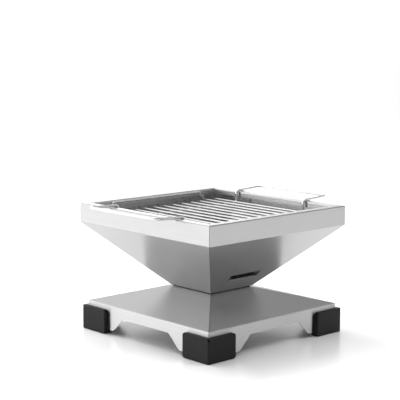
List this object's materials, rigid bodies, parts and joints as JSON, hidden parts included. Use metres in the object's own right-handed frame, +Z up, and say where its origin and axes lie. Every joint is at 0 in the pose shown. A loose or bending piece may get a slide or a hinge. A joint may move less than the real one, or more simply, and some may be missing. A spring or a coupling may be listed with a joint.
{
  "type": "fire pit with grate",
  "caption": "Square stainless fire pit: hopper bowl with a flanged rim on a pyramid base, rubber corner shoes and a lift-off wire cooking grate.",
  "frame": {"origin": "centre of the floor area under the object", "axes": "+Z up; +X along the line between the two hand bars, to the right; louvers face -Y (front) and +Y (back)"},
  "size_m": [0.4208, 0.33, 0.2334],
  "materials": {
    "bowl_steel": "satin, fine grain",
    "base_steel": "satin, fine grain",
    "neck_plate_steel": "dull",
    "fastener_steel": "bright stainless",
    "grate_wire": "polished stainless wire",
    "charcoal_wire": "drawn stainless wire",
    "foot_rubber": "matt black moulded rubber"
  },
  "bodies": {
    "fire_pit": {"base_panel_back": "base_steel", "base_panel_front": "base_steel", "base_panel_left": "base_steel", "base_panel_right": "base_steel", "bowl_floor_plate": "bowl_steel", "bowl_panel_back": "bowl_steel", "bowl_panel_front": "bowl_steel", "bowl_panel_left": "bowl_steel", "bowl_panel_right": "bowl_steel", "neck_bolts": "fastener_steel", "neck_nuts": "fastener_steel", "neck_plate": "neck_plate_steel", "neck_washers": "fastener_steel", "rubber_foot_back_left": "foot_rubber", "rubber_foot_back_right": "foot_rubber", "rubber_foot_front_left": "foot_rubber", "rubber_foot_front_right": "foot_rubber"},
    "cooking_grate": {"grill_rod_01": "grate_wire", "grill_rod_02": "grate_wire", "grill_rod_03": "grate_wire", "grill_rod_04": "grate_wire", "grill_rod_05": "grate_wire", "grill_rod_06": "grate_wire", "grill_rod_07": "grate_wire", "grill_rod_08": "grate_wire", "grill_rod_09": "grate_wire", "grill_rod_10": "grate_wire", "grill_rod_11": "grate_wire", "grill_rod_12": "grate_wire", "grill_rod_13": "grate_wire", "guard_wire_back": "grate_wire", "guard_wire_front": "grate_wire", "handle_wire_left": "grate_wire", "handle_wire_right": "grate_wire"},
    "charcoal_grate": {"charcoal_bar_left": "charcoal_wire", "charcoal_bar_right": "charcoal_wire", "charcoal_rod_01": "charcoal_wire", "charcoal_rod_02": "charcoal_wire", "charcoal_rod_03": "charcoal_wire", "charcoal_rod_04": "charcoal_wire", "charcoal_rod_05": "charcoal_wire", "charcoal_rod_06": "charcoal_wire", "charcoal_rod_07": "charcoal_wire", "charcoal_rod_08": "charcoal_wire", "charcoal_rod_09": "charcoal_wire", "charcoal_rod_10": "charcoal_wire", "charcoal_rod_11": "charcoal_wire"}
  },
  "joints": [
    {"name": "cooking_grate_lift", "type": "slide", "parent": "fire_pit", "child": "cooking_grate", "axis": [0, 0, 1], "range_m": [0, 0.12]},
    {"name": "charcoal_grate_lift", "type": "slide", "parent": "fire_pit", "child": "charcoal_grate", "axis": [0, 0, 1], "range_m": [0, 0.06]}
  ]
}
